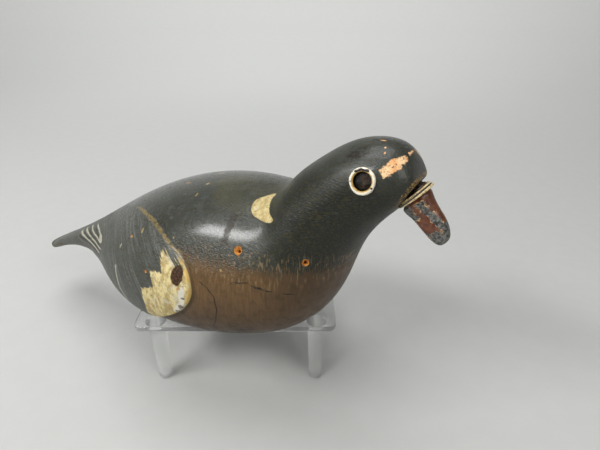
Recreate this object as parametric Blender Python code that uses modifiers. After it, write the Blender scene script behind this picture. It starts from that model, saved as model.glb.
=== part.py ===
"""Carved and painted wood-pigeon decoy resting on a clear moulded display riser.

The bird looks along +X with its left side toward +Y.  The floor under the riser's feet is
z = 0, and the origin is the middle of the whole footprint.  Lengths are in metres.
The bird is one loft through named sections, parted by thin cuts into tail, trunk, neck and head.
"""
import bpy
import math
from mathutils import Matrix, Vector

for leftover in list(bpy.data.objects):
    bpy.data.objects.remove(leftover, do_unlink=True)

# ---------------------------------------------------------------- driving dimensions
mm = 0.001
gap = 0.3 * mm                  # clear space left between touching pieces

# where the bird's own datum sits from the middle of the footprint
datum = Vector((40.7, -21.7, 0)) * mm

# Sections of the bird from tail end to forehead, in millimetres from the datum:
# (back x, back z), (belly x, belly z), half width, sag of the widest level toward the belly
sections = (
    ((-224, 59), (-221, 52), 15, 0.0),      # tail end
    ((-210, 65), (-207, 58), 22, 0.0),      # tail blade
    ((-183, 79), (-183, 68), 24, 0.0),      # tail root
    ((-142, 101), (-146, 75), 28, 0.0),     # rump
    ((-102, 126), (-104, 66), 41, 0.05),    # lower back
    ((-63, 148), (-66, 57), 60, 0.15),      # flank behind the middle
    ((-19, 164), (-26, 57), 68, 0.22),      # widest part
    ((24, 169), (22, 60), 60, 0.22),        # shoulders
    ((45, 166), (61, 72), 49, 0.12),        # crop
    ((48, 175), (80, 98), 40, 0.0),         # foot of the neck
    ((64, 188), (88, 127), 32, 0.0),        # neck
    ((86, 204), (97, 149), 26, 0.0),        # nape and throat
    ((112, 207), (112, 167), 20, 0.0),      # crown
    ((122, 194), (124, 178), 13, 0.0),      # forehead
)
end_share = 0.55                # size of the closing ring inside each end section
points_round = 36
rows_per_section = 4
tail_cut = 2.3                  # where the loft is parted, counted in sections
neck_cut = 8.9
head_cut = 10.6
beyond_tail = -2
beyond_forehead = len(sections) + 1

# eyes: a raised ring round a deep bore that holds a sunken ball
eye_place = Vector((99.7, 22.2, 187.7)) * mm
eye_facing = Vector((0.05, 0.96, 0.27))
ring_radius = 6.4 * mm
ring_tube = 0.95 * mm
ring_set_in = 0.2 * mm
ball_radius = 5.4 * mm
ball_half_depth = 3.0 * mm
ball_set_in = 2.2 * mm
socket_reach = 12 * mm

# bill: its axis runs out of the collar and down; 'rise' is square to it and up
collar_place = Vector((121.4, 0.0, 176.5)) * mm
bill_axis = Vector((0.735, 0.0, -0.678))
bill_rise = Vector((0.678, 0.0, 0.735))
collar_radius = 11.4 * mm
collar_thick = 2.0 * mm
collar_middle = 0.5 * mm
plug_radius = 6.6 * mm
plug_depth = 8.0 * mm
bill_length = 30.0 * mm
bill_tip_rise = -4.7 * mm
# bill sections beyond the collar: distance out, centre above the axis, half height, half width (mm)
bill_sections = (
    (1.9, -1.0, 9.4, 8.4),
    (5.0, -1.3, 8.8, 7.6),
    (10.0, -1.8, 7.6, 6.6),
    (18.0, -2.3, 7.2, 6.2),
    (24.0, -3.3, 6.2, 5.4),
    (28.0, -4.2, 4.2, 3.7),
    (29.6, -4.6, 2.0, 1.8),
)
break_back = 3.7 * mm           # the head's broken face behind the collar, on the bill's axis
break_lean = math.radians(10.0)
break_size = Vector((29.4, 48, 40)) * mm
break_middle = 2.2 * mm         # the cutting block's middle above the axis

# folded wings: angle down from the ridge, rear limit, front limit; limits counted in sections
wing_outline = (
    (10, 2.45, 3.95),
    (20, 2.45, 4.30),
    (30, 2.45, 4.60),
    (40, 2.45, 4.90),
    (50, 2.50, 5.65),
    (60, 2.60, 6.15),
    (70, 2.70, 6.52),
    (80, 2.85, 6.70),
    (90, 3.05, 6.74),
    (100, 3.35, 6.60),
    (110, 3.85, 6.28),
    (120, 4.60, 5.70),
)
wing_lift = 1.1 * mm            # clear space between a wing and the curved body under it
wing_thick = 2.6 * mm
wing_edge_share = 0.45          # how thick the wing's rim is beside its middle
wing_steps = 14

# riser: a rounded plate on four tapered legs, turned under the bird
riser_turn = math.radians(31.0)
riser_place = Vector((-21.4, 26.8, 0.0)) * mm
plate_size = Vector((148, 116, 4)) * mm
plate_top = 56.9 * mm
plate_corner = 6 * mm
plate_ease = 0.7 * mm
leg_spread = Vector((59.5, 47)) * mm
leg_top_radius = 7.6 * mm
leg_foot_radius = 5.2 * mm
foot_round = 1.4 * mm

# ---------------------------------------------------------------- collections, colours, helpers
bird = bpy.data.collections.new("pigeon_decoy")
cutters = bpy.data.collections.new("cutters")
for group in (bird, cutters):
    bpy.context.scene.collection.children.link(group)


def paint(name, colour, rough, through=0.0, alpha=1.0):
    """One plain Principled material."""
    material = bpy.data.materials.new(name)
    material.use_nodes = True
    shader = material.node_tree.nodes["Principled BSDF"]
    shader.inputs["Base Color"].default_value = (*colour, 1.0)
    shader.inputs["Roughness"].default_value = rough
    shader.inputs["Metallic"].default_value = 0.0
    shader.inputs["Transmission Weight"].default_value = through
    shader.inputs["Alpha"].default_value = alpha
    return material


wood_grey = paint("painted_wood_grey", (0.075, 0.085, 0.088), 0.35)
wood_brown = paint("painted_wood_breast", (0.11, 0.075, 0.055), 0.4)
ring_white = paint("eye_ring_paint", (0.75, 0.70, 0.58), 0.4)
ball_dark = paint("eye_ball_glass", (0.03, 0.02, 0.012), 0.12)
bill_red = paint("bill_paint", (0.13, 0.05, 0.035), 0.35)
collar_cream = paint("bill_collar_paint", (0.42, 0.34, 0.22), 0.45)
riser_clear = paint("riser_clear_plastic", (0.86, 0.88, 0.86), 0.08, 0.9, 0.35)


def frame(name, place, parent=None, axis=(0, 0, 1), up=(1, 0, 0)):
    """An empty whose local Z lies along the axis and whose local X leans toward up."""
    empty = bpy.data.objects.new(name, None)
    bird.objects.link(empty)
    out = Vector(axis).normalized()
    rise = (Vector(up) - out * out.dot(Vector(up))).normalized()
    turn = Matrix((rise, out.cross(rise), out)).transposed()
    empty.parent = parent
    empty.location = place
    empty.rotation_euler = turn.to_euler()
    return empty


def settle(thing, name, parent, material=None):
    """Names a new object, puts it in its frame, and in the cutters if it has no material."""
    thing.name = name
    thing.data.name = name
    thing.parent = parent
    for holder in list(thing.users_collection):
        holder.objects.unlink(thing)
    if material:
        bird.objects.link(thing)
        thing.data.materials.append(material)
    else:
        cutters.objects.link(thing)
        thing.hide_render = True
        thing.display_type = "WIRE"
    return thing


def lofted(name, rings, parent, material, first_point=None, last_point=None):
    """A closed body through rings of unlike sections, each end closed flat or at a point."""
    count = len(rings[0])
    points = [point for ring in rings for point in ring]
    faces = []
    for row in range(len(rings) - 1):
        for step in range(count):
            low = row * count + step
            after = row * count + (step + 1) % count
            faces.append((low, after, after + count, low + count))
    for start, tip in ((0, first_point), ((len(rings) - 1) * count, last_point)):
        loop = [start + step for step in range(count)]
        if tip is None:
            faces.append(loop)
            continue
        points.append(tip)
        for step in range(count):
            faces.append((len(points) - 1, loop[step], loop[(step + 1) % count]))
    mesh = bpy.data.meshes.new(name)
    mesh.from_pydata(points, [], faces)
    thing = bpy.data.objects.new(name, mesh)
    bpy.context.scene.collection.objects.link(thing)
    bpy.context.view_layer.objects.active = thing
    bpy.ops.object.mode_set(mode="EDIT")
    bpy.ops.mesh.select_all(action="SELECT")
    bpy.ops.mesh.normals_make_consistent(inside=False)
    bpy.ops.object.mode_set(mode="OBJECT")
    return settle(thing, name, parent, material)


def cut(thing, cutter):
    """Takes a cutter's volume out of a thing with a live exact Boolean."""
    step = thing.modifiers.new("cut_" + cutter.name, "BOOLEAN")
    step.operation = "DIFFERENCE"
    step.solver = "EXACT"
    step.object = cutter


def cylinder(name, radius, low, high, parent, material=None, sides=32):
    """A cylinder along its frame's axis between two heights."""
    bpy.ops.mesh.primitive_cylinder_add(
        vertices=sides, radius=radius, depth=high - low, location=(0, 0, (low + high) / 2)
    )
    return settle(bpy.context.object, name, parent, material)


# ---------------------------------------------------------------- the bird's loft
bird_frame = frame("bird_datum", datum)


def blend(part):
    """Four weights of a smooth cubic between neighbouring sections."""
    rest = 1 - part
    return (
        rest ** 3 / 6,
        (3 * part ** 3 - 6 * part ** 2 + 4) / 6,
        (-3 * part ** 3 + 3 * part ** 2 + 3 * part + 1) / 6,
        part ** 3 / 6,
    )


def section_at(where):
    """Centre, half height, half width and sag at a place counted in sections.

    Shrunken copies of each end section close the loft smoothly beyond it.
    """
    last = len(sections) - 1
    base = min(math.floor(where), last + 1)
    centre = Vector((0, 0, 0))
    half = Vector((0, 0, 0))
    width = 0.0
    sag = 0.0
    for offset, weight in enumerate(blend(where - base)):
        index = base + offset - 1
        beyond = max(-index, index - last, 0)
        share = (1.0, end_share, 0.0, -end_share)[beyond]
        back, belly, wide, low = sections[min(max(index, 0), last)]
        top = Vector((back[0], 0, back[1])) * mm
        bottom = Vector((belly[0], 0, belly[1])) * mm
        centre += (top + bottom) / 2 * weight
        half += (top - bottom) / 2 * weight * share
        width += wide * mm * weight * share
        sag += low * weight
    return centre, half, width, sag


def skin_point(where, angle, lift=0.0):
    """A point of the bird's surface; the angle runs down the left side from the ridge."""
    centre, half, width, sag = section_at(where)
    level = math.cos(angle) - sag * math.sin(angle) ** 2
    spot = centre + half * level + Vector((0, width * math.sin(angle), 0))
    if lift:
        along = skin_point(where + 0.02, angle) - skin_point(where - 0.02, angle)
        around = skin_point(where, angle + 0.02) - skin_point(where, angle - 0.02)
        spot += along.cross(around).normalized() * lift
    return spot


def body_piece(name, start, end, material):
    """One length of the loft, set back by half a gap at each cut."""
    steps = round((end - start) * rows_per_section)
    rings = []
    tips = {}
    for step in range(steps + 1):
        where = start + (end - start) * step / steps
        centre, half, width, sag = section_at(where)
        if where in (beyond_tail, beyond_forehead):
            tips["first_point" if step == 0 else "last_point"] = centre
            continue
        square = Vector((half.z, 0, -half.x)).normalized()
        setback = {0: square, steps: -square}.get(step, Vector((0, 0, 0))) * gap / 2
        turns = (2 * math.pi * turn / points_round for turn in range(points_round))
        rings.append([skin_point(where, turn) + setback for turn in turns])
    return lofted(name, rings, bird_frame, material, **tips)


body_piece("tail", beyond_tail, tail_cut, wood_grey)
body_piece("trunk", tail_cut, neck_cut, wood_brown)
body_piece("neck", neck_cut, head_cut, wood_grey)
head = body_piece("head", head_cut, beyond_forehead, wood_grey)


# ---------------------------------------------------------------- folded wings
def wing(name, side):
    """A sheet that follows the body, thickened outward and thinner at its rim."""
    rows = len(wing_outline)
    across = wing_steps + 1
    points = []
    faces = []
    rim = []
    for row, (degrees, rear, front) in enumerate(wing_outline):
        for step in range(across):
            where = rear + (front - rear) * step / wing_steps
            if row in (0, rows - 1) or step in (0, wing_steps):
                rim.append(len(points))
            points.append(skin_point(where, math.radians(degrees) * side, wing_lift))
            if row and step:
                here = len(points) - 1
                loop = (here, here - 1, here - 1 - across, here - across)
                faces.append(loop if side > 0 else loop[::-1])
    mesh = bpy.data.meshes.new(name)
    mesh.from_pydata(points, [], faces)
    sheet = bpy.data.objects.new(name, mesh)
    bpy.context.scene.collection.objects.link(sheet)
    settle(sheet, name, bird_frame, wood_grey)
    fullness = sheet.vertex_groups.new(name="fullness")
    fullness.add(range(len(points)), 1.0, "REPLACE")
    fullness.add(rim, wing_edge_share, "REPLACE")
    thicken = sheet.modifiers.new("thickness", "SOLIDIFY")
    thicken.thickness = wing_thick
    thicken.offset = 1.0
    thicken.vertex_group = fullness.name
    return sheet


wing("wing_left", 1)
wing("wing_right", -1)


# ---------------------------------------------------------------- eyes
def eye(name, side):
    """Bores the head and sets the ring and the sunken ball on one side."""
    mirror = Vector((1, side, 1))
    socket = frame("eye_frame_" + name, eye_place * mirror, bird_frame, eye_facing * mirror, (0, 0, 1))
    ball_middle = -ball_set_in - ball_half_depth
    bore_floor = ball_middle - ball_half_depth - gap
    seat_floor = -ring_set_in - ring_tube - gap
    seat_radius = ring_radius + ring_tube + gap
    cut(head, cylinder("eye_bore_" + name, ball_radius + gap, bore_floor, socket_reach, socket))
    cut(head, cylinder("eye_seat_" + name, seat_radius, seat_floor, socket_reach, socket))
    bpy.ops.mesh.primitive_torus_add(
        major_radius=ring_radius,
        minor_radius=ring_tube,
        major_segments=28,
        minor_segments=8,
        location=(0, 0, -ring_set_in),
    )
    settle(bpy.context.object, "eye_ring_" + name, socket, ring_white)
    bpy.ops.mesh.primitive_uv_sphere_add(
        segments=18, ring_count=9, radius=ball_radius, location=(0, 0, ball_middle)
    )
    ball = settle(bpy.context.object, "eye_" + name, socket, ball_dark)
    ball.data.transform(Matrix.Diagonal((1, 1, ball_half_depth / ball_radius, 1)))


eye("left", 1)
eye("right", -1)

# ---------------------------------------------------------------- broken face, bill and collar
bill_frame = frame("bill_frame", collar_place, bird_frame, bill_axis, bill_rise)

bpy.ops.mesh.primitive_cube_add(size=1)
broken = settle(bpy.context.object, "broken_face", bill_frame)
broken.data.transform(Matrix.Diagonal((*break_size, 1)))
broken.data.transform(Matrix.Translation((break_middle, 0, break_size.z / 2)))
broken.location = (0, 0, -break_back)
broken.rotation_euler = (0, break_lean, 0)
cut(head, broken)
bore_floor = -plug_depth - 5 * gap
cut(head, cylinder("bill_bore", plug_radius + 2 * gap, bore_floor, collar_thick, bill_frame, sides=28))


def oval(out, centre, half_height, half_width, sides=24):
    """One ring of the bill in its own frame, from its height and width."""
    turns = [2 * math.pi * turn / sides for turn in range(sides)]
    return [
        Vector((centre + half_height * math.cos(turn), half_width * math.sin(turn), out)) for turn in turns
    ]


plug_end = collar_middle + collar_thick / 2 + gap
plug_ease = 0.8 * mm
bill_rings = [
    oval(-plug_depth, 0, plug_radius - plug_ease, plug_radius - plug_ease),
    oval(plug_ease - plug_depth, 0, plug_radius, plug_radius),
    oval(plug_end, 0, plug_radius, plug_radius),
]
for section in bill_sections:
    bill_rings.append(oval(*(value * mm for value in section)))
bill_tip = Vector((bill_tip_rise, 0, bill_length))
lofted("bill", bill_rings, bill_frame, bill_red, None, bill_tip)

collar_back = collar_middle - collar_thick / 2
collar_front = collar_middle + collar_thick / 2
collar = cylinder(
    "bill_collar", collar_radius, collar_back, collar_front, bill_frame, collar_cream, sides=28
)
rim_round = collar.modifiers.new("rim", "BEVEL")
rim_round.width = 0.4 * mm
rim_round.segments = 1
rim_round.limit_method = "ANGLE"
hole_low = collar_back - gap
hole_high = collar_front + gap
cut(collar, cylinder("collar_hole", plug_radius + gap, hole_low, hole_high, bill_frame, sides=24))

# ---------------------------------------------------------------- riser
riser_frame = frame("riser_frame", riser_place, bird_frame)
riser_frame.rotation_euler = (0, 0, riser_turn)
plate_bottom = plate_top - plate_size.z

bpy.ops.mesh.primitive_cube_add(size=1, location=(0, 0, plate_top - plate_size.z / 2))
plate = settle(bpy.context.object, "stand_plate", riser_frame, riser_clear)
plate.data.transform(Matrix.Diagonal((*plate_size, 1)))
upright = plate.data.attributes.new("bevel_weight_edge", "FLOAT", "EDGE")
for edge in plate.data.edges:
    low, high = (plate.data.vertices[index].co for index in edge.vertices)
    upright.data[edge.index].value = float(abs(high.z - low.z) > plate_size.z / 2)
corner_round = plate.modifiers.new("corners", "BEVEL")
corner_round.width = plate_corner
corner_round.segments = 6
corner_round.limit_method = "WEIGHT"
edge_round = plate.modifiers.new("edges", "BEVEL")
edge_round.width = plate_ease
edge_round.segments = 1
edge_round.limit_method = "ANGLE"
edge_round.angle_limit = math.radians(60)

leg_height = plate_bottom - gap
for leg_name, ahead, aside in (
    ("front_left", 1, 1),
    ("front_right", 1, -1),
    ("rear_left", -1, 1),
    ("rear_right", -1, -1),
):
    bpy.ops.mesh.primitive_cone_add(
        vertices=24,
        radius1=leg_foot_radius,
        radius2=leg_top_radius,
        depth=leg_height,
        location=(leg_spread.x * ahead, leg_spread.y * aside, leg_height / 2),
    )
    leg = settle(bpy.context.object, "stand_leg_" + leg_name, riser_frame, riser_clear)
    foot = leg.vertex_groups.new(name="foot")
    foot.add([point.index for point in leg.data.vertices if point.co.z < 0], 1.0, "REPLACE")
    foot_bevel = leg.modifiers.new("foot", "BEVEL")
    foot_bevel.width = foot_round
    foot_bevel.segments = 2
    foot_bevel.limit_method = "VGROUP"
    foot_bevel.vertex_group = foot.name

bpy.context.view_layer.update()
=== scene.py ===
import math
import bmesh
import bpy
import numpy as np
from mathutils import Matrix, Vector


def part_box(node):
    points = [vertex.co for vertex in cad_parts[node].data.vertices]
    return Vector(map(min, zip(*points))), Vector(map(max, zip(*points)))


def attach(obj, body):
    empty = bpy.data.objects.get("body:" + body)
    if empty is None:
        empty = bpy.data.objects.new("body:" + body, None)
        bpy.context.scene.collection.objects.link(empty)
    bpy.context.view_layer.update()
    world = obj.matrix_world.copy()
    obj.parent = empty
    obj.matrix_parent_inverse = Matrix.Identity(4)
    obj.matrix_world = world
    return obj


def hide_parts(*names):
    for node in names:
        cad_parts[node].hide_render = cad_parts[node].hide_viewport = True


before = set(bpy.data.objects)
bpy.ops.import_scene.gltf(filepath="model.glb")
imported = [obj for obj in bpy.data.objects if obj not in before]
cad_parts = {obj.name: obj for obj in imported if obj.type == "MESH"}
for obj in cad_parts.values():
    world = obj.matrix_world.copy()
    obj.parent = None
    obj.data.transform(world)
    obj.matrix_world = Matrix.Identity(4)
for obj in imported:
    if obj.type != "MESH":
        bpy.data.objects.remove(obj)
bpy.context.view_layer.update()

from types import SimpleNamespace

mm = 0.001

# The bird's own measuring point, read back from the two eye rings. Places below are millimetres from it.
ringsAhead = 99.69
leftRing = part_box("eye_ring_left")
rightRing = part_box("eye_ring_right")
ringsMiddle = (leftRing[0].x + leftRing[1].x) / 2
datum = Vector((ringsMiddle - ringsAhead * mm, (rightRing[0].y + leftRing[1].y) / 2, 0))


def at(x, y, z):
    return Vector((x, y, z)) * mm + datum


def sided(values, side):
    # the same place or direction on the left (1) or the right (-1) of the bird
    return Vector(values) * Vector((1, side, 1))


def pick(thing):
    bpy.ops.object.select_all(action="DESELECT")
    thing.select_set(True)
    bpy.context.view_layer.objects.active = thing


def settle(thing, name):
    pick(thing)
    thing.name = name
    thing.data.name = name
    bpy.ops.object.transform_apply(location=True, rotation=True, scale=True)
    return thing


def useModifier(thing, kind, **settings):
    pick(thing)
    step = thing.modifiers.new(kind.lower(), kind)
    for key, value in settings.items():
        setattr(step, key, value)
    bpy.ops.object.modifier_apply(modifier=step.name)


def openMesh(chosen="SELECT", kind=None):
    # goes into mesh editing with everything chosen, or nothing
    bpy.ops.object.mode_set(mode="EDIT")
    if kind:
        bpy.ops.mesh.select_mode(type=kind)
    bpy.ops.mesh.select_all(action=chosen)


def closeMesh():
    bpy.ops.object.mode_set(mode="OBJECT")


def joinAll(things, name):
    bpy.ops.object.select_all(action="DESELECT")
    for thing in things:
        thing.select_set(True)
    bpy.context.view_layer.objects.active = things[0]
    if len(things) > 1:
        bpy.ops.object.join()
    things[0].name = name
    things[0].data.name = name
    return things[0]


def readPoints(thing):
    places = np.empty(len(thing.data.vertices) * 3)
    thing.data.vertices.foreach_get("co", places)
    return (places.reshape(-1, 3) - np.array(datum)) / mm


def readValues(thing, name):
    values = np.empty(len(thing.data.vertices))
    thing.data.attributes[name].data.foreach_get("value", values)
    return values


def writeValues(thing, name, values):
    layer = thing.data.attributes.get(name) or thing.data.attributes.new(name, "FLOAT", "POINT")
    layer.data.foreach_set("value", np.asarray(values, dtype=np.float32))


def easeIn(values, low, high):
    share = np.clip((values - low) / (high - low), 0, 1)
    return share * share * (3 - 2 * share)


def inside(outline, across, up):
    # signed distance to a closed outline in one flat view, positive inside
    points = np.column_stack((across, up))
    ends = np.array(outline, dtype=float)
    nearest = np.full(len(points), 1e9)
    within = np.zeros(len(points), dtype=bool)
    for start, end in zip(ends, np.roll(ends, -1, axis=0)):
        run = end - start
        share = np.clip(((points - start) @ run) / (run @ run), 0, 1)
        nearest = np.minimum(nearest, np.linalg.norm(points - start - share[:, None] * run, axis=1))
        crosses = (start[1] > points[:, 1]) != (end[1] > points[:, 1])
        rise = end[1] - start[1] if end[1] != start[1] else 1e-9
        meets = start[0] + (points[:, 1] - start[1]) * run[0] / rise
        within ^= crosses & (points[:, 0] < meets)
    return np.where(within, nearest, -nearest)


def rounded(outline, steps=6):
    # the same closed outline with its corners turned into even curves
    ends = np.array(outline, dtype=float)
    before, after, beyond = np.roll(ends, 1, axis=0), np.roll(ends, -1, axis=0), np.roll(ends, -2, axis=0)
    share = np.linspace(0, 1, steps, endpoint=False)[None, :, None]
    here, there = ends[:, None], after[:, None]
    lean, nextLean = (after - before)[:, None] / 2, (beyond - ends)[:, None] / 2
    curve = here * (2 * share**3 - 3 * share**2 + 1) + lean * (share**3 - 2 * share**2 + share)
    curve = curve + there * (3 * share**2 - 2 * share**3) + nextLean * (share**3 - share**2)
    return curve.reshape(-1, 2)


def fullness(points):
    # makes up for what the rounding takes in
    return 6 / (4 + 2 * math.cos(2 * math.pi / points))


def addRing(centre, up, halfUp, halfWide, points, along, sag=0.0, square=1.0):
    # one ring of a loft, marked with its number and with the degrees down from its top
    bpy.ops.mesh.primitive_circle_add(vertices=points, radius=1)
    ring = bpy.context.object
    turns = [math.degrees(math.acos(max(-1, min(1, point.co.y)))) for point in ring.data.vertices]
    writeValues(ring, "along", [along] * points)
    writeValues(ring, "around", turns)
    for point in ring.data.vertices:
        point.co.x = math.copysign(abs(point.co.x) ** square, point.co.x)
        point.co.y = math.copysign(abs(point.co.y) ** square, point.co.y)
        point.co.y -= sag * point.co.x ** 2
    across = Vector((0, 1, 0))
    axes = Matrix((across * halfWide, up * halfUp, across.cross(up))).transposed()
    ring.matrix_world = Matrix.Translation(centre) @ axes.to_4x4()
    return settle(ring, "ring")


def loftRings(rings, name, levels):
    # joins the rings, bridges them in turn, closes both ends and rounds the lot
    count = len(rings)
    body = joinAll(rings, name)
    pick(body)
    openMesh(kind="VERT")

    def selectRings(chosen):
        bpy.ops.mesh.select_all(action="DESELECT")
        cage = bmesh.from_edit_mesh(body.data)
        layer = cage.verts.layers.float["along"]
        for point in cage.verts:
            point.select_set(round(point[layer]) in chosen)
        cage.select_flush_mode()
        bmesh.update_edit_mesh(body.data)

    for step in range(count - 1):
        selectRings((step, step + 1))
        bpy.ops.mesh.bridge_edge_loops()
    for last in (0, count - 1):
        selectRings((last,))
        bpy.ops.mesh.edge_face_add()
    bpy.ops.mesh.select_all(action="SELECT")
    bpy.ops.mesh.normals_make_consistent(inside=False)
    closeMesh()
    useModifier(body, "SUBSURF", levels=levels, render_levels=levels)
    return body


# carved wooden body: one skin for head, neck, trunk, tail and wings

skinShape = {
    "ringPoints": 14,
    "levels": 4,
    "endShare": 0.68,
    "tailSquare": [0.55, 0.55, 0.62, 0.75, 0.9],  # first rings from the tail: 1 is a plain oval
    # back x, back z, belly x, belly z, half width, sag of the widest level
    "stations": [
        (-223.6, 58.6, -220.4, 50.8, 15, 0),
        (-210, 65, -206.6, 57, 22, 0),
        (-183, 79, -183, 68, 24, 0),
        (-142, 101, -146, 75, 28, 0),
        (-102, 126, -104, 66, 41, 0.05),
        (-63, 148, -66, 57, 60, 0.15),
        (-19, 164, -26, 57, 68, 0.22),
        (24, 169, 22, 60, 60, 0.22),
        (45, 166, 61, 72, 49, 0.12),
        (48, 175, 80, 98, 40, 0),
        (64, 188, 88, 127, 32, 0),
        (86, 204, 97, 149, 26, 0),
        (112, 206.8, 112, 167, 20, 0),
        (122, 194, 124, 178, 13, 0),
    ],
}


def buildSkin():
    shape = skinShape
    points = shape["ringPoints"]
    stations = [(station, 1.0) for station in shape["stations"]]
    stations = [(stations[0][0], shape["endShare"])] + stations + [(stations[-1][0], shape["endShare"])]
    rings = []
    for along, (station, share) in enumerate(stations):
        backX, backZ, bellyX, bellyZ, halfWide, sag = station
        up = Vector((backX - bellyX, 0, backZ - bellyZ)) * mm / 2
        centre = at((backX + bellyX) / 2, 0, (backZ + bellyZ) / 2)
        size = fullness(points) * share
        halves = (up.length * size, halfWide * mm * size)
        square = shape["tailSquare"][along] if along < len(shape["tailSquare"]) else 1.0
        rings.append(addRing(centre, up.normalized(), *halves, points, along, sag, square))
    return loftRings(rings, "wooden_skin", shape["levels"])


# folded wing: degrees down from the ridge, rear and front limits counted in rings
wingShape = {
    "rows": [
        (12, 3.45, 4.70),
        (22, 3.45, 5.35),
        (31, 3.45, 5.95),
        (42, 3.45, 6.63),
        (52, 3.50, 7.10),
        (59, 3.58, 7.43),
        (68, 3.70, 7.65),
        (77, 3.80, 7.75),
        (84, 3.95, 7.75),
        (91, 4.10, 7.66),
        (97, 4.30, 7.52),
        (104, 4.60, 7.30),
        (111, 5.00, 6.98),
        (117, 5.55, 6.45),
    ],
    "raise": 2.9,
    "rim": (-0.6, 1.6),  # millimetres inside the outline over which the wing comes up
    "dome": (0.80, 12),  # share raised at the rim, and how far in it is full
    "shoulder": (50, 80),  # degrees down over which the front edge comes up from the back
    "flattest": 0.12,  # share raised above the shoulder
    "swell": (0.25, 3.8, 6.2),  # share raised at the rear, and the rings over which it is made up
    "groove": 0.6,
    "grooveLine": (1.6, 1.3),  # how far outside the outline it runs, and its spread
    "grooveRings": (5.2, 6.4),
}


def wingDistance(skin):
    # how far each point lies inside the wing's outline, in millimetres along the surface
    along = readValues(skin, "along")
    around = readValues(skin, "around")
    stations = [skinShape["stations"][0]] + skinShape["stations"] + [skinShape["stations"][-1]]
    places = np.array(stations, dtype=float)
    middles = (places[:, 0:2] + places[:, 2:4]) / 2
    steps = np.linalg.norm(np.diff(middles, axis=0), axis=1)
    reach = np.concatenate(([0], np.cumsum(steps)))
    half = np.linalg.norm(places[:, 0:2] - places[:, 2:4], axis=1) / 2
    perDegree = math.pi * (half + places[:, 4]) / 360
    rings = np.arange(len(stations))

    def flat(where, turn):
        return np.interp(where, rings, reach), turn * np.interp(where, rings, perDegree)

    rows = np.array(wingShape["rows"], dtype=float)
    front = np.column_stack(flat(rows[:, 2], rows[:, 0]))
    rear = np.column_stack(flat(rows[:, 1], rows[:, 0]))
    across, down = flat(along, around)
    return inside(rounded(np.concatenate((front, rear[::-1]))), across, down)


def refine(skin, field, reach):
    # splits the faces that lie within a reach of a field's zero line
    writeValues(skin, "close", np.abs(field))
    pick(skin)
    openMesh("DESELECT", "FACE")
    cage = bmesh.from_edit_mesh(skin.data)
    layer = cage.verts.layers.float["close"]
    for face in cage.faces:
        face.select_set(min(point[layer] for point in face.verts) < reach)
    bmesh.update_edit_mesh(skin.data)
    bpy.ops.mesh.subdivide(number_cuts=1)
    closeMesh()


def carve(skin, name, weights, strength):
    # pushes the surface out, or in, by the weights
    group = skin.vertex_groups.new(name=name)
    for index in np.nonzero(np.abs(weights) > 1e-4)[0]:
        group.add([int(index)], float(weights[index]), "REPLACE")
    useModifier(skin, "DISPLACE", vertex_group=name, strength=strength, mid_level=0, direction="NORMAL")


def carveWings(skin):
    shape = wingShape
    for reach in (5, 2):
        refine(skin, wingDistance(skin), reach)
    field = wingDistance(skin)
    along = readValues(skin, "along")
    shoulder = easeIn(readValues(skin, "around"), *shape["shoulder"])
    (rim, full), (rear, start, end), (out, spread) = shape["dome"], shape["swell"], shape["grooveLine"]
    rise = shape["flattest"] + (1 - shape["flattest"]) * shoulder
    rise = rise * (rear + (1 - rear) * easeIn(along, start, end))
    rise = rise * easeIn(field, *shape["rim"]) * (rim + (1 - rim) * easeIn(field, 0, full))
    carve(skin, "wingRise", rise, shape["raise"] * mm)
    dip = np.exp(-((field + out) / spread) ** 2) * easeIn(along, *shape["grooveRings"])
    carve(skin, "wingGroove", dip * shoulder, -shape["groove"] * mm)
    return field


def facingMatrix(facing, up=(0, 0, 1)):
    # turns the third axis to the facing and keeps the first as near to up as it can
    out = Vector(facing).normalized()
    upright = abs(out.z) > 0.99
    up = Vector((1, 0, 0)) if upright else Vector(up)
    rise = (up - out * out.dot(up)).normalized()
    return Matrix((rise, out.cross(rise), out)).transposed().to_4x4()


def addTurned(name, steps, place, facing, sides=48):
    # a filled circle, then an extrude and a resize for each step: radius and height in millimetres
    radius, height = steps[0]
    bpy.ops.mesh.primitive_circle_add(vertices=sides, radius=radius * mm, fill_type="NGON")
    thing = bpy.context.object
    openMesh()
    level = 0.0
    for nextRadius, nextHeight in steps[1:]:
        rise = (nextHeight - height) * mm
        bpy.ops.mesh.extrude_region_move(TRANSFORM_OT_translate={"value": (0, 0, rise)})
        level += rise
        share = nextRadius / radius
        bpy.ops.transform.resize(value=(share, share, 1), center_override=(0, 0, level))
        radius, height = nextRadius, nextHeight
    bpy.ops.mesh.select_all(action="SELECT")
    bpy.ops.mesh.normals_make_consistent(inside=False)
    closeMesh()
    lift = Matrix.Translation((0, 0, steps[0][1] * mm))
    thing.matrix_world = Matrix.Translation(place) @ facingMatrix(facing) @ lift
    return settle(thing, name)


def roughen(thing, size, depth):
    # cloudy unevenness of a hand-worked surface
    texture = bpy.data.textures.new(thing.name + "_cloud", "CLOUDS")
    texture.noise_scale = size * mm
    texture.noise_depth = 2
    settings = {"texture": texture, "mid_level": 0.5, "texture_coords": "LOCAL"}
    useModifier(thing, "DISPLACE", strength=depth * mm, **settings)


def cutAway(thing, cutters):
    tool = joinAll(cutters, "cutter")
    settings = {"operation": "DIFFERENCE", "solver": "MANIFOLD", "material_mode": "TRANSFER"}
    useModifier(thing, "BOOLEAN", object=tool, **settings)
    bpy.data.objects.remove(tool, do_unlink=True)


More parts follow.
